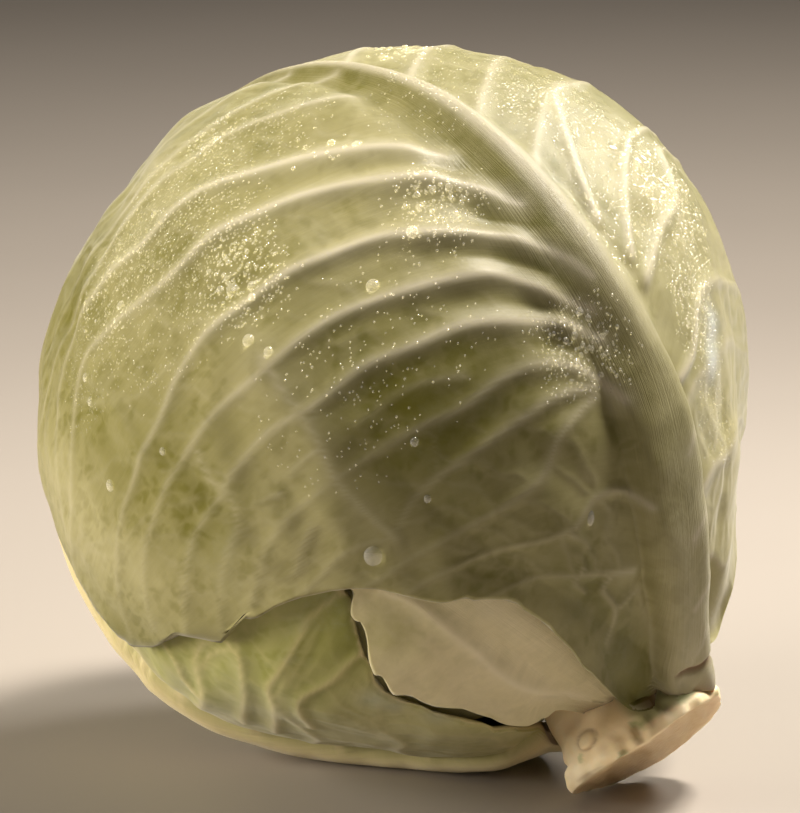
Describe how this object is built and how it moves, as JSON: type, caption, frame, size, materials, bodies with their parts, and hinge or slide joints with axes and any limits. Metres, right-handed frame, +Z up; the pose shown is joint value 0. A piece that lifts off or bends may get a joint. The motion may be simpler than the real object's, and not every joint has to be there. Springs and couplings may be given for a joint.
{
  "type": "green cabbage",
  "caption": "Whole head of green cabbage, cut from its stalk and lying on its side, with wrapped veined leaves, a raised midrib and a short cut stump.",
  "frame": {"origin": "On the supporting surface, at the middle of the small flat spot that the head lies on, under the head's centre", "axes": "+Z up, away from the surface; -Y towards the viewer, who faces the big outer leaf; +X to the viewer's right, the side that the cut stump points to"},
  "size_m": [0.1732, 0.1781, 0.1763],
  "materials": {
    "heart": "tight pale yellow-green inner leaves, waxy",
    "leaf_1_front": "yellow-green waxy leaf with cream veins, wet",
    "leaf_2_pale": "pale cream-green waxy leaf",
    "leaf_3_under": "green waxy leaf with a cream midrib",
    "leaf_4_back": "yellow-green waxy leaf with cream veins, wet",
    "leaf_5_low_back": "pale green waxy leaf",
    "leaf_6_right": "pale cream-green waxy leaf",
    "stump": "pale tan cut stalk, fibrous and matte"
  },
  "bodies": {
    "root": {"heart": "heart", "leaf_1_front": "leaf_1_front", "leaf_2_pale": "leaf_2_pale", "leaf_3_under": "leaf_3_under", "leaf_4_back": "leaf_4_back", "leaf_5_low_back": "leaf_5_low_back", "leaf_6_right": "leaf_6_right", "stump": "stump"}
  },
  "joints": []
}
